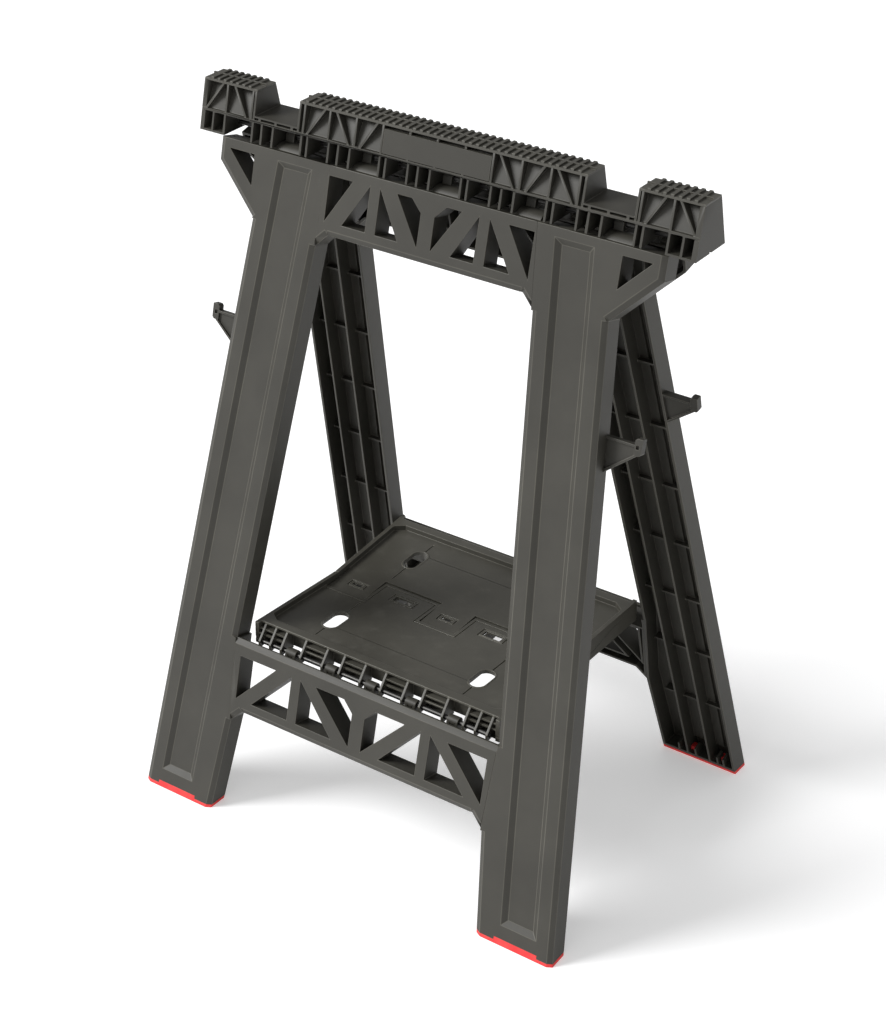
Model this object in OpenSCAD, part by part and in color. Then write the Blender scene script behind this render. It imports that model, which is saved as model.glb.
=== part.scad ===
// Folding sawhorse: a ribbed top beam, two hinged leg frames with trussed crossbars,
// a two-part tray that folds upwards, side hooks and rubber feet.
// X runs along the beam, Y from the front frame to the rear frame, Z is up, floor at Z = 0.

/* [Overall] */
// Height from the floor to the top of the deck ridges
height = 750; // [640:1:900]
// Length of the top beam
beam_length = 565; // [530:1:680]
// Distance between the outer faces of the two frames at the floor
foot_spread = 403.6; // [330:1:485]

/* [Beam] */
// Height of the beam section
beam_height = 52.6; // [48:0.1:64]
// Width of the beam at its underside
beam_base_width = 53.2; // [53:0.1:64]
// Width of the beam across the deck
beam_deck_width = 27.8; // [22:0.1:34]
// Half length of the middle deck block
centre_half = 163; // [145:0.5:180]
// Gap of each lumber notch along the beam
notch_width = 52.7; // [40:0.1:58]
// Depth of each lumber notch below the deck
notch_depth = 26.9; // [20:0.1:28]
// Height of the hinge axis above the underside of the beam
hinge_rise = 6.6; // [6:0.1:9]
// Thickness of the beam's ribs
beam_rib = 2.4; // [1.8:0.1:3]
// Thickness of the beam's end plates
end_plate = 5; // [3:0.1:8]
// Height of the middle flange above the underside
flange_rise = 21.9; // [20:0.1:23]
// Thickness of the middle flange
flange_wall = 2.5; // [1.8:0.1:3]
// Thickness of each deck plate, its ridges included
deck_plate = 4; // [3:0.1:5]
// Height of the grip ridges
ridge_height = 1.9; // [0.8:0.1:2.4]
// Spacing of the grip ridges
ridge_pitch = 7.9; // [6:0.1:12]
// Half length of each name plate
badge_half = 61; // [40:0.5:61]
// Thickness of each name plate
badge_wall = 3; // [2:0.1:3.5]

/* [Top hinge] */
// Spacing of the knuckles of one frame along the hinge rod
knuckle_pitch = 93.9; // [90:0.1:96]
// Shift of the row of knuckles along the beam
knuckle_shift = 4.5; // [0:0.1:6]
// Width of a front knuckle's eye
front_knuckle = 10; // [8:0.5:12]
// Width of a rear knuckle's eye
rear_knuckle = 12; // [8:0.5:14]
// Radius of a knuckle
knuckle_r = 6.5; // [5.5:0.1:6.6]
// Radius of the hinge rod
rod_r = 3; // [2:0.1:3.5]
// Running clearance of every bore, on the radius
running = 0.05; // [0.02:0.01:0.09]

/* [Leg frames] */
// Distance from a frame's front face to the hinge axis, square to the face
face_offset = 24.6; // [22:0.1:25.5]
// Gap between each frame's open back and the middle plane when folded
back_gap = 0.6; // [0.3:0.1:1.5]
// Thickness of the mouldings' skin and outer walls
wall = 3; // [2.4:0.1:3.4]
// Thickness of the inner ribs
rib = 2.4; // [1.6:0.1:3]
// Width of the sloped edge round the front face
bevel_width = 5.6; // [3:0.1:6.5]
// Depth of the sloped edge round the front face
bevel_depth = 3; // [2:0.1:3.5]
// Half distance between the outer edges of the feet
foot_half = 264.4; // [240:0.5:280]
// Half distance between the outer edges of the legs at the knees
knee_half = 206.2; // [190:0.5:215]
// Width of a leg above the crossbar
leg_width = 80.8; // [70:0.5:88]
// Half distance across the ears under the beam
ear_half = 254.5; // [235:0.5:258]
// Width added to the inner side of a leg at the crossbar
leg_swell = 13; // [6:0.5:16]
// Width added to the inner side of a leg at the floor
foot_swell = 6.3; // [4:0.1:10]
// Height of the knees above the floor
knee_height = 627; // [560:1:650]
// Width of the sunk panel along each leg
panel_width = 42; // [30:0.5:50]
// Depth of the sunk panel
panel_depth = 4; // [2:0.1:5]
// Width of the panel's sloped border
panel_slope = 6; // [3:0.1:8]

/* [Crossbars] */
// Height of the top edge of the tray crossbar
crossbar_top = 199.4; // [170:0.5:230]
// Height of the bottom edge of the tray crossbar
crossbar_bottom = 121.1; // [100:0.5:140]
// Height of the bottom edge of the head crossbar
head_bottom = 630.2; // [600:0.5:640]
// Width of the border between an opening and the edge of its crossbar
truss_border = 14; // [11:0.5:18]
// Half width of the middle post of a crossbar
post_half = 8; // [6:0.5:12]

/* [Tray] */
// Half width of the tray at its hinge rails
tray_half = 154; // [130:0.5:158]
// Half width of the tray at the middle fold
tray_fold_half = 149.5; // [125:0.5:151]
// Angle by which each half slopes down to the fold
tray_tilt = 2; // [1:0.1:4]
// Distance of the tray hinge axis from a frame's open back plane
tray_hinge_inset = 5.9; // [5.6:0.1:8]
// Distance of the tray hinge axis below a crossbar's top edge, along the face
tray_hinge_drop = 0.9; // [0.6:0.1:3]
// Height of the tray rim above the tray hinge axis
rim_rise = 19.3; // [17:0.1:20]
// Depth of the tray deck below the rim
deck_drop = 6; // [4:0.1:8]
// Thickness of the tray deck
tray_deck = 2.5; // [2:0.1:3.5]
// Width of the rim along the sides
rim_side = 4.5; // [3.5:0.1:5]
// Width of the rim along the hinge rails
rim_rail = 10.2; // [7:0.1:12]
// Reach of the fold fingers past the fold
finger = 20.5; // [12:0.5:26]
// Gap between the fold fingers
finger_gap = 0.9; // [0.7:0.1:2]
// Half length of the middle fold finger
finger_a = 22; // [16:0.5:30]
// Outer end of the wide fold fingers
finger_b = 95.6; // [85:0.5:105]
// Radius of the tray hinge rods
tray_rod_r = 2.5; // [1.5:0.1:2.8]
// Radius of the fold rod
fold_rod_r = 2; // [1.2:0.1:2.4]
// Distance of the tool holes from the middle of the tray along the beam
hole_x = 93.5; // [60:0.5:120]
// Distance of the tool holes from the fold
hole_y = 73; // [50:0.5:90]
// Width of a tool hole
hole_width = 18; // [8:0.5:30]
// Length of a tool hole
hole_length = 34; // [31:0.5:50]

/* [Feet and hooks] */
// Thickness of the rubber foot pad
pad = 3.5; // [2.5:0.1:5]
// Width of the tab on the front of a foot
tab_width = 50.8; // [30:0.5:60]
// Height of the tab on the front of a foot
tab_height = 7; // [5:0.1:12]
// Height of the side hooks above the floor, at their arm
hook_height = 522; // [300:1:560]
// Reach of a side hook from the side of its leg
hook_reach = 38.7; // [25:0.1:50]
// Depth of a side hook, measured from the open back of its leg
hook_depth = 7.4; // [5:0.1:14]

/* [Hidden] */
$fn = 48;
eps = 0.01;

plastic = "#524f49";
beam_grey = "#59564f";
tray_grey = "#4c4943";
hook_grey = "#605d57";
badge_grey = "#3b3935";
red = "#e0383c";
steel = "#8d8f92";

// Beam levels and section
beam_bottom = height - beam_height;
hinge_z = beam_bottom + hinge_rise;
beam_half = beam_length / 2;
beam_slope = atan2((beam_base_width - beam_deck_width) / 2, beam_height);
flange_top = beam_bottom + flange_rise;
flange_bottom = flange_top - flange_wall;
notch_floor = height - notch_depth;
notch_out = centre_half + notch_width;
deck_base = height - deck_plate;

// Frame placement: each frame is drawn upright about the hinge axis, then leaned outwards
lean = acos(face_offset / norm([foot_spread / 2, hinge_z])) - atan2(hinge_z, foot_spread / 2);
frame_front = -face_offset;
frame_back = -back_gap;
frame_gap = 0.6;

// Height on a frame's front face, turned into the frame's own upright coordinate
function up(h) = (h - hinge_z - face_offset * sin(lean)) / cos(lean);
floor_v = up(0);
top_v = up(beam_bottom - frame_gap);
leg_slope = (foot_half - knee_half) / (up(knee_height) - floor_v);
function leg_out(v) = foot_half - leg_slope * (v - floor_v);
function leg_in(v) = leg_out(v) - leg_width;
function leg_mid(v) = leg_out(v) - leg_width / 2;

// Crossbars
bar_top = up(crossbar_top);
bar_bottom = up(crossbar_bottom);
head_low = up(head_bottom);
gusset = 13;
swell_v = bar_bottom - gusset;
knee_v = up(knee_height);
ear_v = knee_v + (ear_half - knee_half);

// Tray hinge axis in a frame's own coordinates, and in the world
tray_hinge_y = frame_back - tray_hinge_inset;
tray_hinge_v = bar_top - tray_hinge_drop;
axis_y = cos(lean) * tray_hinge_y + sin(lean) * tray_hinge_v;
axis_z = hinge_z + cos(lean) * tray_hinge_v - sin(lean) * tray_hinge_y;
under = -tray_hinge_y;
tray_length = (-axis_y + under * sin(tray_tilt)) / cos(tray_tilt);
under_gap = 0.4;
tray_low = -under + under_gap;
deck_top = rim_rise - deck_drop;
deck_low = deck_top - tray_deck;
rail_start = 7.6;
clip_x = [-102.4, -50.8, 0, 50.8, 102.4];
clip_width = 13;
clip_r = 5.4;
fold_knuckle_r = 4.4;
fold_channel_r = 5;
// The two halves lean towards each other at the deck, so the finger ends need this much more room
finger_clear = finger_gap / 2 + (deck_top + under) * sin(tray_tilt);
finger_far = tray_length + finger - finger_clear;
finger_near = tray_length - finger - finger_clear;

function unit(v) = v / norm(v);
function out_normal(a, b) = let (d = unit(b - a)) [d[1], -d[0]];

// Polygon with every edge moved outwards by d (counter-clockwise points)
function grown(pts, d) = [
    for (i = [0 : len(pts) - 1])
        let (
            a = pts[(i + len(pts) - 1) % len(pts)],
            b = pts[i],
            c = pts[(i + 1) % len(pts)],
            m = out_normal(a, b),
            n = out_normal(b, c)
        )
        b + d * (m + n) / (1 + m * n)
];

function mirrored(pts) = [for (i = [len(pts) - 1 : -1 : 0]) [-pts[i][0], pts[i][1]]];
function sided(pts, side) = side > 0 ? pts : mirrored(pts);

// Extrudes an X-Z outline from y0 to y1
module slab(y0, y1) {
    translate([0, y1, 0]) rotate([90, 0, 0]) linear_extrude(y1 - y0) children();
}

// Extrudes a Y-Z outline from x0 to x1
module along(x0, x1) {
    translate([x0, 0, 0]) rotate([90, 0, 90]) linear_extrude(x1 - x0) children();
}

// Rod along X
module bar(x0, x1, r) {
    translate([x0, 0, 0]) rotate([0, 90, 0]) cylinder(h = x1 - x0, r = r);
}

// Box from one corner to the opposite one
module box(a, b) {
    translate(a) cube(b - a);
}

// ---------------------------------------------------------------- top beam

// Half width of the beam section at height z
function half_at(z) = beam_base_width / 2 - (z - beam_bottom) * tan(beam_slope);

module beam_section(z0, z1) {
    polygon([
        [-half_at(z0), z0], [half_at(z0), z0], [half_at(z1), z1], [-half_at(z1), z1]
    ]);
}

// Upright rib across the beam
module cross_rib(x, z0, z1, t = beam_rib) {
    along(x - t / 2, x + t / 2) beam_section(z0, z1);
}

// Slanting rib of the upper row, from x0 at its foot to x1 at the deck
module slant_rib(x0, x1) {
    intersection() {
        along(min(x0, x1) - 3, max(x0, x1) + 3) beam_section(flange_top - 1, deck_base + eps);
        slab(-beam_base_width, beam_base_width)
            let (n = (x1 - x0) / (deck_base - flange_top), t = beam_rib / 2 * norm([1, n]))
            polygon([
                [x0 - t - n, flange_top - 1], [x0 + t - n, flange_top - 1],
                [x1 + t, deck_base + eps], [x1 - t, deck_base + eps]
            ]);
    }
}

front_rows = [-2 : 2];
rear_rows = [-3 : 2];
function row_x(n) = knuckle_shift + n * knuckle_pitch;
rod_end = beam_half - end_plate - 3.5;
end_rib = 15.5;

// Upright ribs of the lower row, counted from the middle of each front knuckle
rib_steps = [-33.9, -22.4, -8.6, 26.7, 34];
end_cell = 30;
end_floor = 2;
// Skin of a notch floor, its posts as shares of the notch width, and their thickness
seat_skin = 1.7;
seat_posts = [0.12, 0.5, 0.88];
post = 3;
// Second upright rib and the slanting rib beside a notch, measured from the block's end
second_rib = 7;
near_slant = [12.3, 31];
end_nick = 3;
lower_ribs = concat(
    [for (n = front_rows, d = rib_steps) row_x(n) + d],
    [for (s = [-1, 1], d = [end_rib, end_cell]) s * (beam_half - d)]
);
// Reach of a front knuckle's arm, and of a rear knuckle's, from the middle of its eye
front_arm = [-6.9, 24.9];
rear_arm = [-11, 11];

// Upper row: distance of each slanting rib's foot and head from the middle
slants = [[87, 69.7], [101.1, 117.8]];
end_slants = [[5.5, 24], [55.4, 39.2]];
uprights = [31.4, 62.6, 94, 125.5];
plate_gap = notch_out + 4.6;

// Sweep between two values of X given in either order
module span(x0, x1) {
    along(min(x0, x1), max(x0, x1)) children();
}

// Cross-section of the two inner walls that slope from the flange up to the deck
module tent() {
    foot = half_at(flange_top) - 3;
    head = 5;
    wall_y = beam_rib * 0.9;
    polygon([
        [-foot, flange_top - eps], [-foot + wall_y, flange_top - eps], [0, deck_base - wall_y],
        [foot - wall_y, flange_top - eps], [foot, flange_top - eps], [head, deck_base], [-head, deck_base]
    ]);
}

// Length of upright wall along the middle of the lower row
module lower_web(x0, x1) {
    box([min(x0, x1), -beam_rib / 2, beam_bottom], [max(x0, x1), beam_rib / 2, flange_bottom + eps]);
}

module beam_body() {
    color(beam_grey)
    difference() {
        union() {
            // Middle flange over the whole length
            along(-beam_half, beam_half) beam_section(flange_bottom, flange_top);
            // End plates
            for (s = [-1, 1])
                span(s * (beam_half - end_plate), s * beam_half) beam_section(beam_bottom, deck_base);
            // Sloping inner walls, one length per block
            along(-centre_half, centre_half) tent();
            for (s = [-1, 1]) {
                span(s * notch_out, s * (beam_half - 1)) tent();
                // Walls beside the notch
                cross_rib(s * (centre_half - beam_rib / 2), flange_top - eps, deck_base);
                cross_rib(s * (centre_half - second_rib), flange_top - eps, deck_base);
                cross_rib(s * (notch_out + beam_rib / 2), flange_top - eps, deck_base);
                cross_rib(s * plate_gap, flange_top - eps, deck_base);
                cross_rib(s * (beam_half - end_cell), flange_top - eps, deck_base);
                // Notch floor and its posts
                span(s * (centre_half - 1), s * (notch_out + 1))
                    beam_section(notch_floor - seat_skin, notch_floor);
                for (k = seat_posts)
                    cross_rib(s * (centre_half + k * notch_width), flange_top - eps, notch_floor - 1, post);
                // Slanting ribs
                for (p = slants) slant_rib(s * p[0], s * p[1]);
                slant_rib(s * (centre_half - near_slant[0]), s * (centre_half - near_slant[1]));
                for (p = end_slants) slant_rib(s * (beam_half - p[0]), s * (beam_half - p[1]));
                for (x = uprights) cross_rib(s * x, flange_top - eps, deck_base);
            }
            cross_rib(0, flange_top - eps, deck_base);
            // Lower row
            for (x = lower_ribs) cross_rib(x, beam_bottom, flange_bottom + eps);
            for (n = front_rows) {
                lower_web(row_x(n) + rib_steps[0], row_x(n) + rib_steps[2]);
                lower_web(row_x(n) + rib_steps[3], row_x(n) + rib_steps[4]);
            }
            // Walls and floors that close the end cells
            for (s = [-1, 1]) {
                lower_web(s * (beam_half - end_cell), s * (beam_half - end_rib));
                span(s * (beam_half - end_cell), s * (beam_half - 1))
                    beam_section(beam_bottom, beam_bottom + end_floor);
            }
        }
        // Seats of the name plates
        for (s = [-1, 1]) badge_space(s, 0);
        // Bore for the hinge rod
        translate([0, 0, hinge_z]) bar(-rod_end, rod_end, rod_r);
        // Small notch under each end plate
        for (s = [-1, 1])
            box(
                [s * beam_half - end_plate - 1, -end_nick / 2, beam_bottom - 1],
                [s * beam_half + end_plate + 1, end_nick / 2, beam_bottom + 2]
            );
    }
}

badge_low = flange_top + 0.6;
badge_high = deck_base - 3.4;

// Space of a name plate on the front (side = -1) or rear (side = 1) of the beam
module badge_space(side, inset) {
    rotate([0, 0, side < 0 ? 0 : 180])
    intersection() {
        slab(-beam_base_width, 0)
            polygon([
                [-badge_half, badge_low], [badge_half, badge_low],
                [badge_half, badge_high], [-badge_half, badge_high]
            ]);
        along(-badge_half, badge_half)
            polygon([
                [-half_at(badge_low) - (inset > 0 ? 0 : 5), badge_low],
                [-half_at(badge_low) + badge_wall, badge_low],
                [-half_at(badge_high) + badge_wall, badge_high],
                [-half_at(badge_high) - (inset > 0 ? 0 : 5), badge_high]
            ]);
    }
}

module badge_front() { color(badge_grey) badge_space(-1, 1); }
module badge_rear() { color(badge_grey) badge_space(1, 1); }

// Ridged plate on top of one block of the beam
ridge_half = 1.7;

module deck_block(x0, x1) {
    base = height - ridge_height;
    count = floor((x1 - x0 - 4) / ridge_pitch);
    start = (x0 + x1) / 2 - (count - 1) * ridge_pitch / 2;
    color(beam_grey)
    union() {
        along(x0, x1) beam_section(deck_base, base);
        // Ridges across the deck, tied by one along its middle
        for (i = [0 : count - 1])
            along(start + i * ridge_pitch - ridge_half, start + i * ridge_pitch + ridge_half)
                beam_section(base - 0.5, height);
        box([x0, -ridge_half / 2, base - 0.5], [x1, ridge_half / 2, height]);
    }
}

module deck_left() { deck_block(-beam_half, -notch_out); }
module deck_centre() { deck_block(-centre_half, centre_half); }
module deck_right() { deck_block(notch_out, beam_half); }

module hinge_rod() {
    color(steel) translate([0, 0, hinge_z]) bar(-rod_end, rod_end, rod_r);
}

cap_length = 3;
cap_lip = 1.4;

// Push-on cap on the end of the hinge rod
module rod_cap(side) {
    start = beam_half - end_rib + beam_rib / 2;
    color(steel) translate([0, 0, hinge_z]) rotate([0, 0, side < 0 ? 180 : 0])
    difference() {
        bar(start, start + cap_length, rod_r + cap_lip);
        bar(start - 1, start + cap_length + 1, rod_r);
    }
}

module rod_cap_left() { rod_cap(-1); }
module rod_cap_right() { rod_cap(1); }

// ---------------------------------------------------------------- leg frames

module place_front() {
    translate([0, 0, hinge_z]) rotate([-lean, 0, 0]) children();
}

module place_rear() {
    rotate([0, 0, 180]) place_front() children();
}

// World coordinates seen from inside a frame
module in_world() {
    rotate([lean, 0, 0]) translate([0, 0, -hinge_z]) children();
}

// Cuts the sloped edge of the front face along one outline edge (a to b, counter-clockwise)
module edge_cut(a, b, grow_a = 8, grow_b = 8) {
    d = b - a;
    fall = bevel_depth / bevel_width;
    past = 2;
    translate([a[0], frame_front, a[1]]) rotate([0, -atan2(d[1], d[0]), 0])
        translate([-grow_a, 0, 0]) rotate([90, 0, 90]) linear_extrude(norm(d) + grow_a + grow_b)
            polygon([
                [-1, -past], [bevel_depth + past * fall, -past], [-1, bevel_width + 1 / fall]
            ]);
}

// Hollow moulding: face skin and outer walls from an outline, open at the back
module shell(pts) {
    difference() {
        slab(frame_front, frame_back) polygon(pts);
        slab(frame_front + wall, 1) polygon(grown(pts, -wall));
    }
}

// Walls round an opening through the moulding
module tube(pts) {
    slab(frame_front, frame_back) polygon(grown(pts, rib));
}

module opening(pts) {
    slab(frame_front - 1, 1) polygon(pts);
}

// Knuckle: an eye on the hinge rod and a wider curved arm that carries it, between the limits lo and hi.
// An open one is a cradle that leaves the rod towards the middle.
module knuckle(x, width, arm, open, lo, hi) {
    difference() {
        union() {
            along(x - width / 2, x + width / 2) {
                circle(r = knuckle_r);
                polygon([[-knuckle_r, 0], [-knuckle_r, -10], [-2, -10], [-2, -5]]);
            }
            along(max(x + arm[0], lo), min(x + arm[1], hi))
                polygon(concat(
                    [for (a = [90 : 15 : 180]) [-6 + 13 * cos(a), -15 + 9 * sin(a)]],
                    [[-19, -17], [-2, -17], [-2, -6]]
                ));
        }
        bar(x - 2 * width, x + 2 * width, rod_r + running);
        if (open)
            along(x - width, x + width)
                let (r = rod_r + running)
                polygon([[0, -r], [12, -r - 4], [12, r + 4], [0, r]]);
    }
}

// Outline of a right-hand leg with its ear
leg_pts = [
    [leg_in(floor_v) - foot_swell, floor_v - 30],
    [leg_out(floor_v) + 30 * leg_slope, floor_v - 30],
    [knee_half, knee_v],
    [ear_half, ear_v],
    [ear_half, top_v],
    [leg_in(top_v), top_v],
    [leg_in(bar_top), bar_top],
    [leg_in(swell_v) - leg_swell, swell_v]
];

// Opening of a right-hand ear
ear_hole = let (x = leg_out(top_v) + 11, v = top_v - 9.6) [
    [x, v - 31], [x + 31, v], [x, v]
];

// Sunk panel of a right-hand leg
panel_top = top_v - 9.3;
panel_bottom = up(21.7);
panel_pts = [
    [leg_mid(panel_bottom) - panel_width / 2, panel_bottom],
    [leg_mid(panel_bottom) + panel_width / 2, panel_bottom],
    [leg_mid(panel_top) + panel_width / 2, panel_top],
    [leg_mid(panel_top) - panel_width / 2, panel_top]
];

// Long ribs stand at these distances from the leg's middle line, on both legs alike
long_ribs = [-9.2, 18.6];
foot_ribs = [-27, -19.5, 8, 29];

module leg_rib(side, d, v0, v1, y0) {
    a = side * leg_mid(v0) + d;
    b = side * leg_mid(v1) + d;
    slab(y0, frame_back)
        polygon([[a - rib / 2, v0], [a + rib / 2, v0], [b + rib / 2, v1], [b - rib / 2, v1]]);
}

// Everything inside the outline that stands on the floor side of the pad
module above_pad() {
    intersection() {
        children();
        in_world() box([-400, -400, pad], [400, 400, height]);
    }
}

module leg_moulding(side, knuckles, knuckle_w, arm, open) {
    pts = sided(leg_pts, side);
    hole = sided(ear_hole, side);
    panel = sided(panel_pts, side);
    skin = frame_front + wall;
    n = 7;
    above_pad()
    difference() {
        union() {
            shell(pts);
            intersection() {
                slab(frame_front + 1, frame_back) polygon(grown(pts, -wall / 2));
                union() {
                    tube(hole);
                    // Back of the sunk panel
                    slab(skin - 1, skin + panel_depth) polygon(grown(panel, -1));
                    for (d = long_ribs) leg_rib(side, d, floor_v - 20, top_v, skin - 0.5);
                    for (d = foot_ribs) leg_rib(side, d, floor_v - 20, floor_v + 22, frame_back - 12);
                    // Low cross ribs
                    for (i = [0 : n - 1])
                        let (v = floor_v + 92 + i * (knee_v - floor_v - 100) / n)
                        slab(skin - 0.5, skin + panel_depth + 5)
                            polygon([
                                [side * leg_mid(v) - leg_width / 2, v - rib / 2],
                                [side * leg_mid(v) + leg_width / 2, v - rib / 2],
                                [side * leg_mid(v) + leg_width / 2, v + rib / 2],
                                [side * leg_mid(v) - leg_width / 2, v + rib / 2]
                            ]);
                    // Rib across the leg at the knee
                    slab(skin - 0.5, frame_back)
                        polygon([
                            [side * leg_mid(knee_v) - leg_width / 2, knee_v - rib / 2],
                            [side * leg_mid(knee_v) + leg_width / 2, knee_v - rib / 2],
                            [side * leg_mid(knee_v) + leg_width / 2, knee_v + rib / 2],
                            [side * leg_mid(knee_v) - leg_width / 2, knee_v + rib / 2]
                        ]);
                    // Plate over the foot pad
                    in_world() box([-400, -400, 0], [400, 0, pad + wall]);
                }
            }
            for (x = knuckles)
                if (x * side > leg_in(top_v))
                    knuckle(x, knuckle_w, arm, open, -beam_half, beam_half);
        }
        opening(hole);
        // Sloped border and floor of the panel
        hull() {
            slab(frame_front - 0.02, frame_front) polygon(panel);
            slab(frame_front, frame_front + panel_depth) polygon(grown(panel, -panel_slope));
        }
        // Sloped edges of the face
        mirror([side > 0 ? 0 : 1, 0, 0]) {
            edge_cut(leg_pts[1], leg_pts[2], 8, 0);
            edge_cut(leg_pts[2], leg_pts[3], 0, 8);
            // A slightly narrower slope keeps the ear's corner from closing on a single point
            edge_cut(leg_pts[3] + [0.05, 0], leg_pts[4] + [0.05, 0], 8, 8);
            edge_cut([leg_in(head_low - gusset), head_low - gusset], leg_pts[6], 0, 0);
            edge_cut(leg_pts[7], leg_pts[0], 0, 8);
        }
        // Seat of the foot's tab, and the holes for its pegs
        in_world() foot_tab(side, 0);
        in_world() for (p = foot_pegs(side)) translate([p[0], p[1], 0]) {
            cylinder(h = pad + wall + 1, r = peg_r);
            translate([0, 0, pad + wall]) cylinder(h = peg_head + 1, r = peg_r + peg_lip + 0.5);
        }
    }
}

peg_r = 3.2;
peg_lip = 1.6;
peg_head = 4.5;
foot_mid = leg_mid(floor_v) - foot_swell / 2;
function foot_pegs(side) = [
    for (d = [-21, 15]) [side * foot_mid + d, -foot_spread / 2 + 15]
];

module foot_tab(side, proud) {
    place_front() slab(frame_front - 1 + (proud > 0 ? 1 : 0), frame_front + 2.2)
        let (x = side * foot_mid, v = up(tab_height))
        polygon([
            [x - tab_width / 2, floor_v - 20], [x + tab_width / 2, floor_v - 20],
            [x + tab_width / 2, v], [x - tab_width / 2, v]
        ]);
}

// Rubber foot in world coordinates, under the front frame
module foot_front(side) {
    intersection() {
        place_front() difference() {
            slab(frame_front, frame_back) polygon(sided(leg_pts, side));
            mirror([side > 0 ? 0 : 1, 0, 0]) {
                edge_cut(leg_pts[1], leg_pts[2], 8, 0);
                edge_cut(leg_pts[7], leg_pts[0], 0, 8);
            }
        }
        box([-foot_half * 2, -foot_spread, 0], [foot_half * 2, 0, pad]);
    }
    intersection() {
        foot_tab(side, 1);
        box([-foot_half * 2, -foot_spread, pad - eps], [foot_half * 2, 0, tab_height + 1]);
    }
    for (p = foot_pegs(side)) translate([p[0], p[1], pad - eps]) {
        cylinder(h = wall + 1.5, r = peg_r);
        translate([0, 0, wall + eps]) cylinder(h = peg_head, r = peg_r + peg_lip);
    }
}

// Windows of a crossbar's right half between two heights, with slanting struts
function truss_holes(x_end, v0, v1, edge) = let (
        x0 = post_half,
        x1 = x_end - edge,
        post = (x0 + x1) / 2,
        gap = 6,
        strut = 9.5,
        cut = 12
    ) [
        [[x0, v0], [post - gap - strut * 2.1, v1], [x0 + cut, v1], [x0, v1 - cut]],
        [[x0 + strut * 2.4, v0], [post - gap, v0], [post - gap, v1]],
        [[post + gap, v0], [x1 - strut * 2.2, v0], [post + gap, v1]],
        [[x1, v0], [x1, v1], [post + gap + strut * 2.2, v1]]
    ];

head_holes = truss_holes(leg_in(head_low), head_low + truss_border, top_v - 10, 7.5);
bar_holes = truss_holes(leg_in(bar_bottom), bar_bottom + truss_border, up(182.3), 16.5);

// Outline of the head crossbar between the legs
head_pts = [
    [-leg_in(head_low - gusset), head_low - gusset],
    [-leg_in(head_low - gusset) + gusset, head_low],
    [leg_in(head_low - gusset) - gusset, head_low],
    [leg_in(head_low - gusset), head_low - gusset],
    [leg_in(top_v), top_v],
    [-leg_in(top_v), top_v]
];

// Moulding with windows; every window has its own wall through the depth
module truss(pts, holes) {
    difference() {
        union() {
            shell(pts);
            intersection() {
                union() for (h = holes, s = [1, -1]) tube(sided(h, s));
                slab(frame_front + 1, frame_back) polygon(grown(pts, -wall / 2));
            }
        }
        for (h = holes, s = [1, -1]) opening(sided(h, s));
    }
}

module head_moulding(knuckles, knuckle_w, arm, open) {
    difference() {
        union() {
            truss(head_pts, head_holes);
            for (x = knuckles)
                if (abs(x) < leg_in(top_v))
                    knuckle(x, knuckle_w, arm, open, -leg_in(top_v) + 0.2, leg_in(top_v) - 0.2);
        }
        for (i = [0 : 2]) edge_cut(head_pts[i], head_pts[i + 1], i == 1 ? -1 : 2, i == 1 ? -1 : 2);
    }
}

// Outline of the tray crossbar between the legs
bar_pts = [
    [-leg_in(swell_v) + leg_swell, swell_v],
    [-leg_in(swell_v) + leg_swell + gusset, bar_bottom],
    [leg_in(swell_v) - leg_swell - gusset, bar_bottom],
    [leg_in(swell_v) - leg_swell, swell_v],
    [leg_in(bar_top), bar_top],
    [-leg_in(bar_top), bar_top]
];
shelf_low = bar_top - 13.2;

// Tray crossbar: the top edge is a short wall with a sloping shelf behind it
module bar_moulding() {
    difference() {
        union() {
            difference() {
                truss(bar_pts, bar_holes);
                // Space above the sloping shelf
                along(-leg_in(bar_top) + wall, leg_in(bar_top) - wall)
                    polygon([
                        [frame_front + bevel_depth + wall, bar_top + 1],
                        [frame_front + bevel_depth + wall, bar_top - 4.8],
                        [1, shelf_low - 0.8], [1, bar_top + 1]
                    ]);
            }
            intersection() {
                along(-leg_in(bar_top) + 1, leg_in(bar_top) - 1)
                    polygon([
                        [frame_front + bevel_depth + 1, bar_top - 3.8],
                        [frame_back, shelf_low], [frame_back, shelf_low - rib],
                        [frame_front + bevel_depth + 1, bar_top - 3.8 - rib]
                    ]);
                slab(frame_front, frame_back) polygon(bar_pts);
            }
            for (x = clip_x) tray_clip(x);
        }
        for (i = [0 : 2]) edge_cut(bar_pts[i], bar_pts[i + 1], i == 1 ? -1 : 2, i == 1 ? -1 : 2);
        edge_cut(bar_pts[4], bar_pts[5], 0, 0);
    }
}

// Clip that holds the tray's hinge rod
module tray_clip(x) {
    translate([0, tray_hinge_y, tray_hinge_v])
    difference() {
        union() {
            bar(x - clip_width / 2, x + clip_width / 2, clip_r);
            box([x - clip_width / 2, -clip_r, -11], [x - clip_width / 2 + 3.5, clip_r - 0.2, 0]);
            box([x + clip_width / 2 - 3.5, -clip_r, -11], [x + clip_width / 2, clip_r - 0.2, 0]);
        }
        bar(x - clip_width, x + clip_width, tray_rod_r + running);
    }
}

front_knuckles = [for (n = front_rows) row_x(n)];
rear_knuckles = [for (n = rear_rows) -row_x(n + 0.5)];

module front_leg(side) {
    color(plastic) place_front() leg_moulding(side, front_knuckles, front_knuckle, front_arm, false);
}

module rear_leg(side) {
    color(plastic) place_rear() leg_moulding(side, rear_knuckles, rear_knuckle, rear_arm, true);
}

module front_left_leg() { front_leg(-1); }
module front_right_leg() { front_leg(1); }
module rear_left_leg() { rear_leg(1); }
module rear_right_leg() { rear_leg(-1); }

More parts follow.
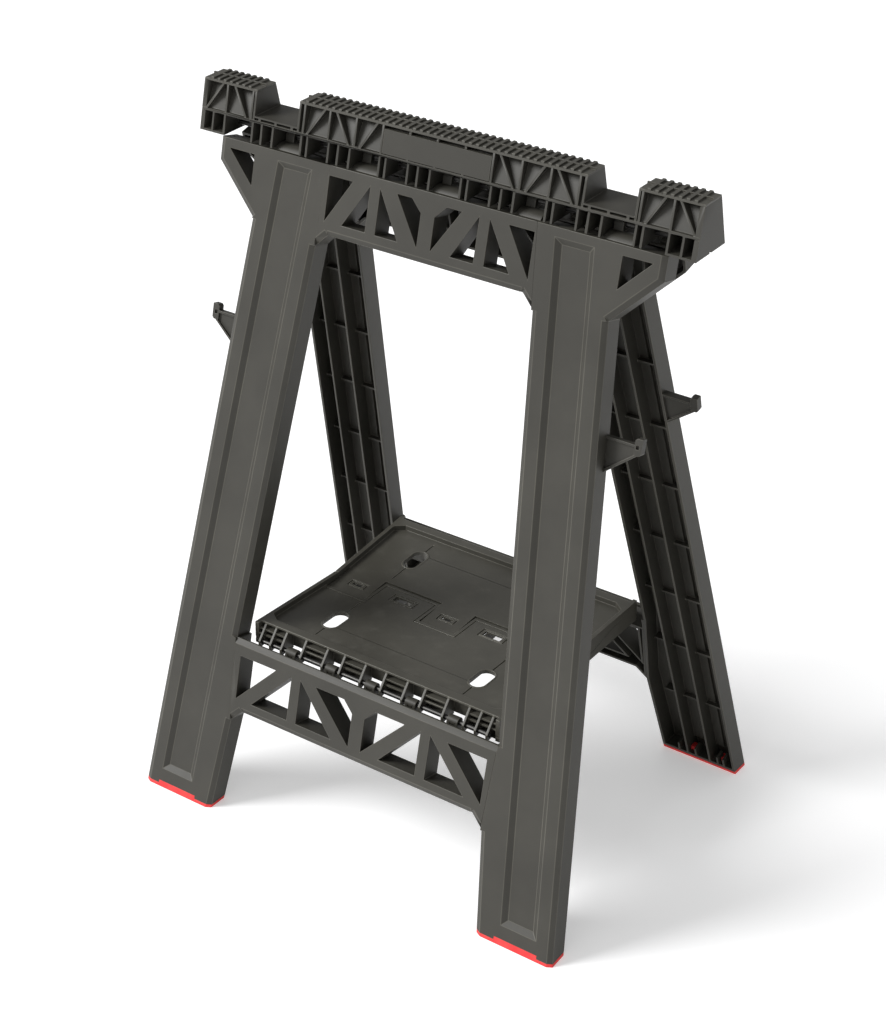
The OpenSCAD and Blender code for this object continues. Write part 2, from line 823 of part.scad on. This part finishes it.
module front_head() {
    color(plastic) place_front() head_moulding(front_knuckles, front_knuckle, front_arm, false);
}

module rear_head() {
    color(plastic) place_rear() head_moulding(rear_knuckles, rear_knuckle, rear_arm, true);
}

module front_crossbar() { color(plastic) place_front() bar_moulding(); }
module rear_crossbar() { color(plastic) place_rear() bar_moulding(); }

module front_left_foot() { color(red) foot_front(-1); }
module front_right_foot() { color(red) foot_front(1); }
module rear_left_foot() { color(red) rotate([0, 0, 180]) foot_front(1); }
module rear_right_foot() { color(red) rotate([0, 0, 180]) foot_front(-1); }

// ---------------------------------------------------------------- side hooks

// Bracket on the outer side of a right-hand leg, in the frame's own coordinates
hook_wall = 2.4;
hook_drop = 35;
hook_lip = 6.5;
hook_tip = 8;

module hook() {
    arm = up(hook_height);
    low = arm - hook_drop;
    root = leg_out(arm);
    tip = root + hook_reach;
    nose = tip - hook_tip / 2;
    y1 = frame_back;
    y0 = y1 - hook_depth;
    mid = (y0 + y1) / 2;
    difference() {
        union() {
            // Web
            slab(mid - hook_wall / 2, mid + hook_wall / 2)
                polygon([[leg_out(low), low], [nose, arm - 10], [nose, arm], [root, arm]]);
            // Arm
            slab(y0, y1)
                polygon([
                    [leg_out(arm - hook_wall), arm - hook_wall], [nose, arm - hook_wall],
                    [nose, arm], [root, arm]
                ]);
            // Sloping flange
            slab(y0, y1)
                polygon([
                    [leg_out(low), low], [nose, arm - 10],
                    [nose, arm - 10 + hook_wall], [leg_out(low + 3), low + 3]
                ]);
            // Upturned tip
            slab(y0, y1)
                polygon([
                    [tip - hook_tip, arm - 10], [tip - 2, arm - 10], [tip, arm - 8],
                    [tip, arm + hook_lip], [tip - hook_tip + 2, arm + hook_lip],
                    [tip - hook_tip, arm + hook_lip - 2]
                ]);
        }
        // Socket in the tip
        box([tip - hook_tip + 1.8, y0 - 1, arm - 4], [tip - hook_tip + 5.2, mid - 1.5, arm]);
    }
}

module hook_at(side) { mirror([side > 0 ? 0 : 1, 0, 0]) hook(); }

module front_left_hook() { color(hook_grey) place_front() hook_at(-1); }
module front_right_hook() { color(hook_grey) place_front() hook_at(1); }
module rear_left_hook() { color(hook_grey) place_rear() hook_at(1); }
module rear_right_hook() { color(hook_grey) place_rear() hook_at(-1); }

// ---------------------------------------------------------------- tray

// The front half is drawn along Y from its hinge axis, level, then tilted into place
module place_tray() {
    translate([0, axis_y, axis_z]) rotate([-tray_tilt, 0, 0]) children();
}

// Half width of the tray at distance s from the hinge axis
function tray_side(s) =
    tray_half - (tray_half - tray_fold_half) * (s - rail_start) / (tray_length - rail_start);

rail_ribs = [13, 39.8, 61.8, 89.7, 115.4, 129.7, 143.6];
closed_cells = [[13, 39.8], [61.8, 89.7], [115.4, 129.7], [129.7, 143.6], [143.6, 150]];
rail_in = rail_start + rim_rail;
fold_front = [-58, 58];
fold_rear = [-118, 0, 118];
// Widths of the fold knuckles, and sizes of the openings over them
wide_knuckle = 22;
slim_knuckle = 12;
wide_window = [32, 15];
slim_window = [22, 11];
// Stiffening ribs under the deck: where they run and how high they reach
deck_long_ribs = [40, 76, 132];
deck_cross_ribs = [44, 96];
rib_low = tray_low + 6;
rib_high = deck_low + 0.5;
groove = 1.5;
groove_depth = 1.3;

// Plan of the deck of one half, fingers included; wide is true for the half with two wide fingers
module deck_plan(wide) {
    g = finger_gap / 2;
    far = finger_far;
    near = finger_near;
    side = tray_side(tray_length) - rim_side - 0.8;
    polygon(wide ? [
        [-tray_side(rail_in), rail_in], [tray_side(rail_in), rail_in],
        [tray_side(near), near], [finger_b - g, near], [finger_b - g, far],
        [finger_a + g, far], [finger_a + g, near], [-finger_a - g, near], [-finger_a - g, far],
        [-finger_b + g, far], [-finger_b + g, near], [-tray_side(near), near]
    ] : [
        [-tray_side(rail_in), rail_in], [tray_side(rail_in), rail_in],
        [tray_side(near), near], [side, near], [side, far],
        [finger_b + g, far], [finger_b + g, near], [finger_a - g, near], [finger_a - g, far],
        [-finger_a + g, far], [-finger_a + g, near], [-finger_b - g, near], [-finger_b - g, far],
        [-side, far], [-side, near], [-tray_side(near), near]
    ]);
}

// Rib of the hinge rail, in the plane across X
module rail_rib(x, t = rib) {
    along(x - t / 2, x + t / 2)
        polygon([
            [-5, tray_low], [rail_in, tray_low + 4], [rail_in, rim_rise - 1], [7, rim_rise - 1],
            [7, 17], [-5, 2]
        ]);
}

module side_wall(side) {
    end = tray_length - 1.4;
    mirror([side > 0 ? 0 : 1, 0, 0])
    translate([0, 0, tray_low]) linear_extrude(rim_rise - tray_low)
        polygon([
            [tray_side(2) - rim_side, 2], [tray_side(2), 2],
            [tray_side(end), end], [tray_side(end) - rim_side, end]
        ]);
}

// Stadium-shaped tool hole
module tool_hole(x) {
    translate([x, tray_length - hole_y, 0])
        for (k = [-1, 1]) translate([0, k * (hole_length - hole_width) / 2, -10])
            cylinder(h = 60, r = hole_width / 2);
    translate([x - hole_width / 2, tray_length - hole_y - (hole_length - hole_width) / 2, -10])
        cube([hole_width, hole_length - hole_width, 60]);
}

module tray_moulding(wide) {
    knuckles = wide ? fold_front : fold_rear;
    width = wide ? wide_knuckle : slim_knuckle;
    g = finger_gap / 2;
    difference() {
        union() {
            difference() {
                union() {
                    translate([0, 0, deck_low]) linear_extrude(tray_deck) deck_plan(wide);
                    for (s = [-1, 1]) side_wall(s);
                    // Rim over the hinge rail, and the step down to the deck
                    translate([0, 0, rim_rise - rib]) linear_extrude(rib)
                        polygon([
                            [-tray_side(rail_start), rail_start], [tray_side(rail_start), rail_start],
                            [tray_side(rail_in), rail_in], [-tray_side(rail_in), rail_in]
                        ]);
                    box(
                        [-tray_side(rail_in) + 1, rail_in - rib, tray_low + 4],
                        [tray_side(rail_in) - 1, rail_in, rim_rise]
                    );
                    // Sloped inner corners of the rim
                    for (s = [-1, 1])
                        let (x = tray_side(rail_in) - rim_side + 0.5)
                        translate([0, 0, deck_low]) linear_extrude(rim_rise - deck_low)
                            polygon(sided([[x - 12.5, rail_in - 0.5], [x, rail_in - 0.5], [x, rail_in + 9]], s));
                    for (x = rail_ribs, s = [-1, 1]) rail_rib(s * x);
                    // Bars and floors of the cells beside the clips
                    for (m = [0, 1], p = closed_cells) mirror([m, 0, 0]) {
                        box([p[0], 4.5, 10.5], [p[1], rail_in, 12.5]);
                        box([p[0], 2.5, 5.2], [p[1], 5, 7.2]);
                        box([p[0], 5, tray_low], [p[1], rail_in, tray_low + 2]);
                    }
                    // Stiffening ribs under the deck
                    for (x = deck_long_ribs, s = [-1, 1])
                        box(
                            [s * x - rib / 2, rail_in - 1, rib_low],
                            [s * x + rib / 2, finger_near - 2, rib_high]
                        );
                    for (s = deck_cross_ribs)
                        box([-tray_side(s) + 1, s - rib / 2, rib_low], [tray_side(s) - 1, s + rib / 2, rib_high]);
                    box(
                        [-tray_side(tray_length) + 1, finger_near - rib, rib_low],
                        [tray_side(tray_length) - 1, finger_near, rib_high]
                    );
                    // Skirts under the fingers
                    for (s = [-1, 1]) finger_skirt(wide, s);
                }
                for (s = [-1, 1]) tool_hole(s * hole_x);
                // Windows over the fold knuckles
                for (x = knuckles)
                    translate([x, tray_length, deck_low - 1]) window(wide ? wide_window : slim_window);
                // Clearance round the fold rod
                translate([0, tray_length, -under])
                    bar(-tray_side(tray_length) - 1, tray_side(tray_length) + 1, fold_channel_r);
                // Lines in the deck
                for (s = [-1, 1])
                    box(
                        [s * hole_x - groove / 2, rail_in + 9, deck_top - groove_depth],
                        [s * hole_x + groove / 2, tray_length - finger - 9, deck_top + 1]
                    );
                if (wide) fold_line();
            }
            for (x = knuckles) fold_knuckle(x, width);
            // Collars round the tool holes
            for (s = [-1, 1]) tool_collar(s * hole_x);
        }
        // Bores
        bar(-tray_half - 1, tray_half + 1, tray_rod_r);
        translate([0, tray_length, -under]) bar(-200, 200, fold_rod_r + (wide ? 0 : running));
    }
}

// Opening over a fold knuckle, inside a sunk border of the given outer size
module window(size) {
    low = tray_deck - 0.2;
    difference() {
        centred(size, low);
        centred(size - [3, 3], low);
    }
    centred(size - [9, 6.5], 0);
}

module centred(size, low) {
    box([-size[0] / 2, -size[1] / 2, low], [size[0] / 2, size[1] / 2, tray_deck + 2]);
}

// Wall under the edges of each finger
module finger_skirt(wide, s) {
    g = finger_gap / 2;
    start = finger_near - 2;
    outer = tray_side(tray_length) - rim_side - 0.8;
    spans = wide ? [[finger_a + g, finger_b - g]] : [[finger_b + g, outer], [0, finger_a - g]];
    for (p = spans)
        mirror([s > 0 ? 0 : 1, 0, 0]) {
            box([p[0], finger_far - rib, 2], [p[1], finger_far, deck_low + 0.5]);
            if (p[0] > 0) box([p[0], start, 2], [p[0] + rib, finger_far, deck_low + 0.5]);
            box([p[1] - rib, start, 2], [p[1], finger_far, deck_low + 0.5]);
        }
}

// Narrow line that follows the fold on the deck
module fold_line() {
    d = 4;
    z0 = deck_top - groove_depth;
    z1 = deck_top + 1;
    far = finger_far - d;
    near = finger_near - d;
    for (s = [-1, 1]) mirror([s > 0 ? 0 : 1, 0, 0]) {
        box([finger_a + d, far - 1, z0], [finger_b - d, far, z1]);
        box([finger_a + d, near, z0], [finger_a + d + 1, far, z1]);
        box([finger_b - d - 1, near, z0], [finger_b - d, far, z1]);
        box([finger_b - d - 1, near - 1, z0], [tray_fold_half - 6, near, z1]);
        box([-1, near - 1, z0], [finger_a + d + 1, near, z1]);
    }
}

// Knuckle on the fold rod, hung from the deck by two webs
module fold_knuckle(x, width) {
    web = 1.2;
    start = finger_near;
    translate([0, tray_length, -under]) bar(x - width / 2, x + width / 2, fold_knuckle_r);
    for (s = [-1, 1])
        let (at = x + s * (width / 2 - web)) {
            box([at - web, start, -under], [at + web, tray_length + fold_knuckle_r, -under + 7]);
            box([at - web, start, 0], [at + web, finger_far - 2, deck_low + 0.5]);
        }
}

// Low rim round a tool hole, above and below the deck
module tool_collar(x) {
    low = deck_low - 1.5;
    high = deck_top + 0.6;
    lip = 1.5;
    difference() {
        translate([x, tray_length - hole_y, low]) {
            for (k = [-1, 1]) translate([0, k * (hole_length - hole_width) / 2, 0])
                cylinder(h = high - low, r = hole_width / 2 + lip);
            translate([-hole_width / 2 - lip, -(hole_length - hole_width) / 2, 0])
                cube([hole_width + 2 * lip, hole_length - hole_width, high - low]);
        }
        tool_hole(x);
    }
}

module tray_front() { color(tray_grey) place_tray() tray_moulding(true); }
module tray_rear() { color(tray_grey) rotate([0, 0, 180]) place_tray() tray_moulding(false); }

module tray_rod() { color(steel) place_tray() bar(-tray_half + 8, tray_half - 8, tray_rod_r); }
module tray_rod_front() { tray_rod(); }
module tray_rod_rear() { rotate([0, 0, 180]) tray_rod(); }

module fold_rod() {
    color(steel) place_tray() translate([0, tray_length, -under]) bar(-126, 126, fold_rod_r);
}

beam_body();
deck_left();
deck_centre();
deck_right();
badge_front();
badge_rear();
hinge_rod();
rod_cap_left();
rod_cap_right();
front_left_leg();
front_right_leg();
front_head();
front_crossbar();
rear_left_leg();
rear_right_leg();
rear_head();
rear_crossbar();
front_left_hook();
front_right_hook();
rear_left_hook();
rear_right_hook();
front_left_foot();
front_right_foot();
rear_left_foot();
rear_right_foot();
tray_front();
tray_rear();
tray_rod_front();
tray_rod_rear();
fold_rod();
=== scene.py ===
# Folding sawhorse: finishes, rounded edges, light and camera around the imported frame.
import math

import bmesh
import bpy
from mathutils import Matrix, Vector
from mathutils.bvhtree import BVHTree

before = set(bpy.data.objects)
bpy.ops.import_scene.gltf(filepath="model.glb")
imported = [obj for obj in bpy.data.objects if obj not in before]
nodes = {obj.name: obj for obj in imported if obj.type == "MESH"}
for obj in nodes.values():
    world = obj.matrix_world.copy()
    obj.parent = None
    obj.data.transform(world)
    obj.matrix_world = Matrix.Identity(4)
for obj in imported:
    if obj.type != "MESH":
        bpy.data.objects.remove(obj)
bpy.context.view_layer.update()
mm = 0.001
print("frame loaded:", len(nodes), "nodes")

legNodes = [f"{end}_{side}_leg" for end in ("front", "rear") for side in ("left", "right")]
hookNodes = [f"{end}_{side}_hook" for end in ("front", "rear") for side in ("left", "right")]
footNodes = [f"{end}_{side}_foot" for end in ("front", "rear") for side in ("left", "right")]
barNodes = [f"{end}_{part}" for end in ("front", "rear") for part in ("head", "crossbar")]
deckNodes = ["deck_left", "deck_centre", "deck_right"]
badgeNodes = ["badge_front", "badge_rear"]
trayNodes = ["tray_front", "tray_rear"]
rodNodes = ["hinge_rod", "rod_cap_left", "rod_cap_right", "tray_rod_front", "tray_rod_rear", "fold_rod"]


# Shader maths: a socket that adds its own Math nodes when it is used in an expression
class Value:
    def __init__(self, finish, socket):
        self.finish = finish
        self.socket = socket

    def combined(self, operation, first, second=0.0):
        maths = self.finish.node("ShaderNodeMath", {"operation": operation}, {0: first, 1: second})
        return Value(self.finish, maths.outputs[0])

    def __add__(self, other):
        return self.combined("ADD", self, other)

    def __radd__(self, other):
        return self.combined("ADD", other, self)

    def __sub__(self, other):
        return self.combined("SUBTRACT", self, other)

    def __rsub__(self, other):
        return self.combined("SUBTRACT", other, self)

    def __mul__(self, other):
        return self.combined("MULTIPLY", self, other)

    def __rmul__(self, other):
        return self.combined("MULTIPLY", other, self)

    def between(self, low, high):  # 0 at low and below, 1 at high and above
        ranged = self.finish.node(
            "ShaderNodeMapRange",
            {"interpolation_type": "SMOOTHSTEP"},
            {"Value": self, "From Min": low, "From Max": high},
        )
        return Value(self.finish, ranged.outputs[0])


class Finish:
    def __init__(self, name):
        self.material = bpy.data.materials.new(name)
        self.material.use_nodes = True
        self.tree = self.material.node_tree
        self.tree.nodes.clear()
        self.skin = self.node("ShaderNodeBsdfPrincipled")
        self.node("ShaderNodeOutputMaterial", {}, {"Surface": self.skin.outputs[0]})
        self.place = self.node("ShaderNodeTexCoord").outputs["Object"]

    def node(self, kind, settings=None, inputs=None):
        made = self.tree.nodes.new(kind)
        for name, value in (settings or {}).items():
            setattr(made, name, value)
        for name, value in (inputs or {}).items():
            source = value.socket if isinstance(value, Value) else value
            if isinstance(source, bpy.types.NodeSocket):
                self.tree.links.new(source, made.inputs[name])
            else:
                made.inputs[name].default_value = source
        return made

    def stretched(self, amounts):  # the object's own coordinates, in metres, stretched along X, Y, Z
        scaled = self.node(
            "ShaderNodeVectorMath", {"operation": "MULTIPLY"}, {0: self.place, 1: amounts}
        )
        return scaled.outputs[0]

    def noise(self, scale, detail=2.0, roughness=0.5, along=None):
        made = self.node(
            "ShaderNodeTexNoise",
            {},
            {
                "Vector": self.stretched(along) if along else self.place,
                "Scale": scale,
                "Detail": detail,
                "Roughness": roughness,
            },
        )
        return Value(self, made.outputs[0])

    def cells(self, scale):
        made = self.node(
            "ShaderNodeTexVoronoi", {"feature": "F1"}, {"Vector": self.place, "Scale": scale}
        )
        return Value(self, made.outputs["Distance"])

    def tinted(self, low, high, factor):  # a colour between low and high
        mixed = self.node(
            "ShaderNodeMix", {"data_type": "RGBA"}, {"Factor": factor, "A": (*low, 1), "B": (*high, 1)}
        )
        return mixed.outputs["Result"]

    def over(self, under, top, factor):  # a colour over another colour socket
        mixed = self.node(
            "ShaderNodeMix", {"data_type": "RGBA"}, {"Factor": factor, "A": under, "B": (*top, 1)}
        )
        return mixed.outputs["Result"]


# Moulded plastic: fine grain, cloudy tone from the mould and a little dust on upward faces
def mouldedPlastic(name, look):
    finish = Finish(name)
    cloud = finish.noise(look["cloud"], 4.0, 0.6)
    grain = finish.noise(look["grain"], 3.0, 0.65)
    flow = finish.noise(9.0, 3.0, 0.5, along=look["flow"])
    tone = (cloud * 0.6 + flow * 0.4).between(0.32, 0.68)
    colour = finish.tinted(look["dark"], look["light"], tone)
    facing = finish.node("ShaderNodeNewGeometry").outputs["Normal"]
    split = finish.node("ShaderNodeSeparateXYZ", {}, {0: facing})
    upward = Value(finish, split.outputs["Z"]).between(0.5, 1.0)
    dust = finish.noise(55.0, 5.0, 0.7).between(0.50, 0.78) * upward
    colour = finish.over(colour, look["dustColour"], dust * look["dust"])
    scuff = finish.noise(18.0, 6.0, 0.75, along=(6.0, 6.0, 0.8)).between(0.63, 0.80)
    colour = finish.over(colour, look["scuffColour"], scuff * look["scuff"])
    rough = (cloud - 0.5) * 0.12 + (grain - 0.5) * 0.10 + dust * 0.12 + look["rough"]
    pits = finish.cells(look["grain"] * 0.7)
    bump = finish.node(
        "ShaderNodeBump",
        {},
        {"Height": grain + pits * 0.5, "Strength": look["bump"], "Distance": look["pitDepth"]},
    )
    wire = finish.tree.links.new
    wire(colour, finish.skin.inputs["Base Color"])
    wire(rough.socket, finish.skin.inputs["Roughness"])
    wire(bump.outputs[0], finish.skin.inputs["Normal"])
    finish.skin.inputs["IOR"].default_value = 1.49
    finish.skin.inputs["Specular IOR Level"].default_value = look["specular"]
    return finish.material


frameLook = {
    "dark": (0.0325, 0.0308, 0.0250),
    "light": (0.0435, 0.0413, 0.0338),
    # how much lighter the painted edge highlight on the rounded edges is
    "edgeHighlightLift": 1.7,
    "dustColour": (0.130, 0.125, 0.108),
    "dust": 0.16,
    "scuffColour": (0.100, 0.096, 0.084),
    "scuff": 0.18,
    "cloud": 14.0,
    "flow": (1.0, 1.0, 0.25),
    "grain": 1500.0,
    "rough": 0.52,
    "bump": 0.35,
    "pitDepth": 0.12 * mm,
    "specular": 0.38,
}
beamLook = {
    **frameLook,
    "dark": (0.030, 0.0285, 0.0232),
    "light": (0.042, 0.0399, 0.0328),
    "flow": (0.25, 1.0, 1.0),
}
deckLook = {
    **frameLook,
    "dark": (0.048, 0.0458, 0.0380),
    "light": (0.064, 0.0611, 0.0512),
    "scuff": 0.40,
    "bump": 0.5,
}
badgeLook = {
    **frameLook,
    "dark": (0.032, 0.0304, 0.0248),
    "light": (0.037, 0.0352, 0.0288),
    "rough": 0.46,
    "grain": 2400.0,
}
trayLook = {
    **frameLook,
    "dark": (0.050, 0.0477, 0.0392),
    "light": (0.066, 0.0630, 0.0520),
    "rough": 0.42,
    "dust": 0.26,
}
hookLook = {
    **frameLook,
    "dark": (0.028, 0.0266, 0.0218),
    "light": (0.037, 0.0352, 0.0290),
}


# Soft red rubber, cloudy in tone with a little grime
def footRubber():
    finish = Finish("footRubber")
    cloud = finish.noise(60.0, 4.0, 0.6)
    grain = finish.noise(1900.0, 2.0, 0.6)
    grime = finish.noise(140.0, 5.0, 0.7).between(0.60, 0.80)
    colour = finish.tinted(rubberLook["dark"], rubberLook["light"], cloud.between(0.35, 0.65))
    colour = finish.over(colour, rubberLook["grime"], grime * 0.25)
    bump = finish.node(
        "ShaderNodeBump", {}, {"Height": grain, "Strength": 0.3, "Distance": 0.0001}
    )
    wire = finish.tree.links.new
    wire(colour, finish.skin.inputs["Base Color"])
    wire(((cloud - 0.5) * 0.15 + grime * 0.1 + rubberLook["rough"]).socket, finish.skin.inputs["Roughness"])
    wire(bump.outputs[0], finish.skin.inputs["Normal"])
    finish.skin.inputs["Specular IOR Level"].default_value = 0.35
    return finish.material


rubberLook = {
    "dark": (0.66, 0.030, 0.032),
    "light": (0.80, 0.052, 0.050),
    "grime": (0.30, 0.030, 0.030),
    "rough": 0.55,
}


# Black-oxide steel wire, streaked along its length
def rodSteel():
    finish = Finish("rodSteel")
    streak = finish.noise(1.0, 4.0, 0.6, along=(12.0, 2600.0, 2600.0))
    tarnish = finish.noise(70.0, 5.0, 0.65).between(0.52, 0.75)
    colour = finish.tinted(steelLook["dark"], steelLook["light"], streak.between(0.3, 0.7))
    colour = finish.over(colour, steelLook["tarnish"], tarnish * 0.5)
    bump = finish.node(
        "ShaderNodeBump", {}, {"Height": streak, "Strength": 0.25, "Distance": 0.00005}
    )
    wire = finish.tree.links.new
    wire(colour, finish.skin.inputs["Base Color"])
    wire((streak * 0.14 + tarnish * 0.22 + steelLook["rough"]).socket, finish.skin.inputs["Roughness"])
    wire((1 - tarnish * 0.35).socket, finish.skin.inputs["Metallic"])
    wire(bump.outputs[0], finish.skin.inputs["Normal"])
    return finish.material


steelLook = {
    "dark": (0.055, 0.054, 0.052),
    "light": (0.105, 0.103, 0.099),
    "tarnish": (0.040, 0.036, 0.032),
    "rough": 0.40,
}

framePlastic = mouldedPlastic("framePlastic", frameLook)
beamPlastic = mouldedPlastic("beamPlastic", beamLook)
deckPlastic = mouldedPlastic("deckPlastic", deckLook)
badgePlastic = mouldedPlastic("badgePlastic", badgeLook)
trayPlastic = mouldedPlastic("trayPlastic", trayLook)
hookPlastic = mouldedPlastic("hookPlastic", hookLook)
rubber = footRubber()
steel = rodSteel()


# A lighter, glossier copy of a plastic for its rounded edges: a painted highlight along the edges
def paintedEdgeHighlight(name, look):
    lift = look["edgeHighlightLift"]
    return mouldedPlastic(
        name,
        {
            **look,
            "dark": tuple(part * lift for part in look["dark"]),
            "light": tuple(part * lift * 1.15 for part in look["light"]),
            "rough": look["rough"] - 0.10,
            "bump": look["bump"] * 0.5,
        },
    )


# lighter copies of the plastics with a painted highlight, for the rounded edges
frameEdgeHighlight = paintedEdgeHighlight("frameEdgeHighlight", frameLook)
beamEdgeHighlight = paintedEdgeHighlight("beamEdgeHighlight", beamLook)
deckEdgeHighlight = paintedEdgeHighlight("deckEdgeHighlight", deckLook)
trayEdgeHighlight = paintedEdgeHighlight("trayEdgeHighlight", trayLook)


def dress(names, *materials):  # the second material, if any, is the lighter painted-highlight copy and goes on the rounded edges
    for name in names:
        held = nodes[name].data.materials
        held.clear()
        for material in materials:
            held.append(material)


dress(legNodes + barNodes, framePlastic, frameEdgeHighlight)
dress(["beam_body"], beamPlastic, beamEdgeHighlight)
dress(deckNodes, deckPlastic, deckEdgeHighlight)
dress(badgeNodes, badgePlastic, frameEdgeHighlight)
dress(trayNodes, trayPlastic, trayEdgeHighlight)
dress(hookNodes, hookPlastic, frameEdgeHighlight)
dress(footNodes, rubber)
dress(rodNodes, steel)
print("finishes made")

edgeLook = {
    "frame": 0.55 * mm,
    "beam": 0.35 * mm,
    "tray": 0.40 * mm,
    "rubber": 0.60 * mm,
    "rod": 0.30 * mm,
    "sharp": math.radians(28),  # edges flatter than this stay as they are
    "touch": 0.03 * mm,  # how near another piece of the same moulding has to be to hide an edge
}


def skinOf(node):  # the node's faces, for measuring how near a point is
    shape = bmesh.new()
    shape.from_mesh(nodes[node].data)
    tree = BVHTree.FromBMesh(shape)
    shape.free()
    return tree


def placeKey(point):
    return tuple(round(value / (0.002 * mm)) for value in point)


# Rounds a node's sharp edges, except those that lie against the rest of the same moulding
def roundEdges(node, width, joined=()):
    piece = nodes[node]
    mesh = piece.data
    shape = bmesh.new()
    shape.from_mesh(mesh)
    bmesh.ops.remove_doubles(shape, verts=shape.verts, dist=0.001 * mm)
    around = [skinOf(other) for other in joined]

    def hidden(edge):
        ends = [vert.co for vert in edge.verts]
        spots = [ends[0], ends[1], (ends[0] + ends[1]) / 2]
        return any(all(tree.find_nearest(spot, edgeLook["touch"])[0] for spot in spots) for tree in around)

    rounded = set()
    for edge in shape.edges:
        if len(edge.link_faces) == 2 and edge.calc_face_angle(0) > edgeLook["sharp"] and not hidden(edge):
            rounded.add(frozenset(placeKey(vert.co) for vert in edge.verts))
    shape.free()
    weights = mesh.attributes.new("bevel_weight_edge", "FLOAT", "EDGE")
    places = [placeKey(vert.co) for vert in mesh.vertices]
    for edge in mesh.edges:
        if frozenset(places[index] for index in edge.vertices) in rounded:
            weights.data[edge.index].value = 1.0
    weld = piece.modifiers.new("weld", "WELD")
    weld.merge_threshold = 0.001 * mm
    bevel = piece.modifiers.new("bevel", "BEVEL")
    bevel.width = width
    bevel.segments = 2
    bevel.limit_method = "WEIGHT"
    bevel.use_clamp_overlap = False
    # the bevel faces take the last material: the painted edge highlight where a node has two
    bevel.material = len(mesh.materials) - 1
    shading = piece.modifiers.new("shading", "WEIGHTED_NORMAL")
    shading.keep_sharp = False
    return len(rounded)


for end in ("front", "rear"):
    moulding = [f"{end}_left_leg", f"{end}_right_leg", f"{end}_head", f"{end}_crossbar"]
    for node in moulding:
        roundEdges(node, edgeLook["frame"], [other for other in moulding if other != node])
roundEdges("beam_body", edgeLook["beam"], deckNodes)
for node in deckNodes:
    roundEdges(node, edgeLook["beam"], ["beam_body"])
for node in trayNodes:
    roundEdges(node, edgeLook["tray"])
for node in hookNodes + badgeNodes:
    roundEdges(node, edgeLook["beam"])
for node in footNodes:
    roundEdges(node, edgeLook["rubber"])
for node in rodNodes:
    roundEdges(node, edgeLook["rod"])
print("edges rounded")

stageLook = {
    "floor": 24.0,  # metres across
    "floorColour": (0.86, 0.86, 0.865),
    "floorGlow": 0.34,
    "sky": 0.44,
    "key": {"from": (-0.64, -0.50, 0.58), "spread": 26, "strength": 3.3},  # direction, degrees, strength
    "fill": {"from": (-0.30, -0.85, 0.43), "spread": 60, "strength": 0.45},
}


def sunLight(name, look):
    light = bpy.data.lights.new(name, "SUN")
    light.angle = math.radians(look["spread"])
    light.energy = look["strength"]
    lamp = bpy.data.objects.new(name, light)
    bpy.context.scene.collection.objects.link(lamp)
    lamp.rotation_euler = Vector(look["from"]).to_track_quat("Z", "Y").to_euler()


def studioFloor():
    finish = Finish("studioFloor")
    wear = finish.noise(2.0, 2.0, 0.5)
    pale = stageLook["floorColour"]
    colour = finish.tinted([part * 0.985 for part in pale], pale, wear)
    finish.tree.links.new(colour, finish.skin.inputs["Base Color"])
    finish.skin.inputs["Roughness"].default_value = 0.35
    finish.skin.inputs["Emission Color"].default_value = (1, 1, 1, 1)
    finish.skin.inputs["Emission Strength"].default_value = stageLook["floorGlow"]
    finish.skin.inputs["Specular IOR Level"].default_value = 0.3
    half = stageLook["floor"] / 2
    mesh = bpy.data.meshes.new("floor")
    corners = [(-half, -half, 0), (half, -half, 0), (half, half, 0), (-half, half, 0)]
    mesh.from_pydata(corners, [], [(0, 1, 2, 3)])
    mesh.materials.append(finish.material)
    floor = bpy.data.objects.new("floor", mesh)
    bpy.context.scene.collection.objects.link(floor)


def skyLight():
    world = bpy.data.worlds.new("studio")
    bpy.context.scene.world = world
    world.use_nodes = True
    back = world.node_tree.nodes["Background"]
    back.inputs["Color"].default_value = (1.0, 1.0, 1.0, 1)
    back.inputs["Strength"].default_value = stageLook["sky"]


for lampName in ("key", "fill"):
    sunLight(lampName, stageLook[lampName])
studioFloor()
skyLight()
bpy.context.scene.view_settings.view_transform = "Standard"

cameraLook = {
    "place": (1.1072, -1.5869, 1.4962),
    "turn": 35.04,  # degrees round from straight ahead
    "tilt": -30.97,
    "roll": -0.10,
    "lens": 77.13,
}


def mainCamera():
    camera = bpy.data.cameras.new("camera")
    camera.lens = cameraLook["lens"]
    camera.clip_start = 0.05
    view = bpy.data.objects.new("camera", camera)
    bpy.context.scene.collection.objects.link(view)
    turned = Matrix.Rotation(math.radians(cameraLook["turn"]), 4, "Z")
    tilted = Matrix.Rotation(math.radians(90 + cameraLook["tilt"]), 4, "X")
    rolled = Matrix.Rotation(math.radians(cameraLook["roll"]), 4, "Z")
    view.matrix_world = Matrix.Translation(cameraLook["place"]) @ turned @ tilted @ rolled
    bpy.context.scene.camera = view


mainCamera()
print("studio set")
